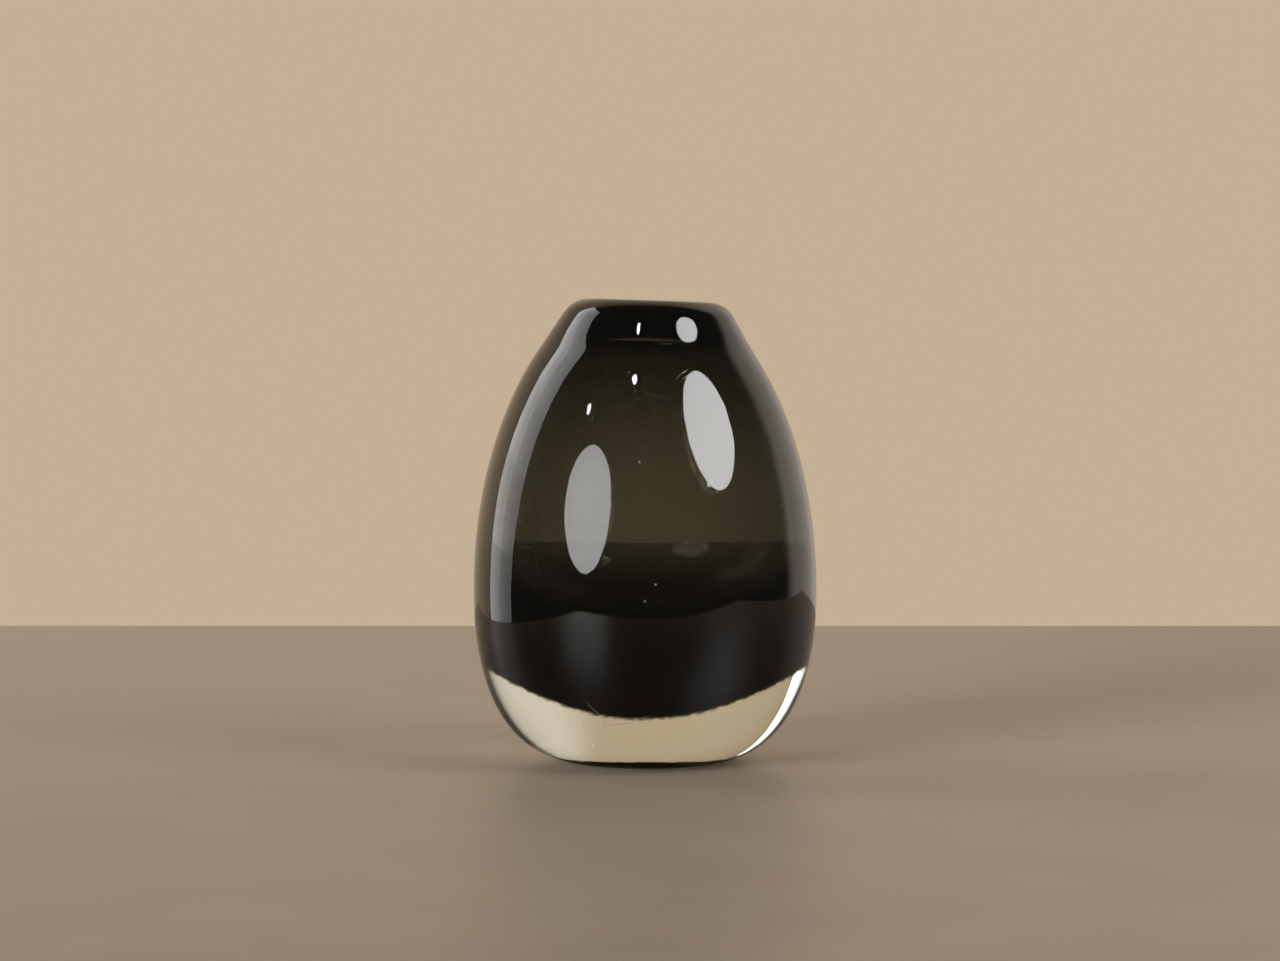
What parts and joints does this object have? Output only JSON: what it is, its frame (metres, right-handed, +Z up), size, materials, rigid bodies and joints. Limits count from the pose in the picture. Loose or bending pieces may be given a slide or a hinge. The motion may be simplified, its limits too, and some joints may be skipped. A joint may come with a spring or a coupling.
{
  "type": "glass bud vase",
  "caption": "Egg-shaped cased glass vase: smoke-grey hollow bubble inside a clear casing with a heavy clear base, narrow round mouth and flat ground foot.",
  "frame": {"origin": "centre of the flat ground foot, on the surface that the vase stands on", "axes": "+Z up along the vase's axis, through the mouth; -Y towards the viewer; the vase is round, so X and Y are free"},
  "size_m": [0.117, 0.117, 0.157],
  "materials": {
    "clear_glass": "fire-polished clear crystal, ground flat under the foot",
    "smoke_glass": "fire-polished smoke-grey glass with an olive cast"
  },
  "bodies": {
    "root": {"clear_casing": "clear_glass", "smoke_bubble": "smoke_glass"}
  },
  "joints": []
}
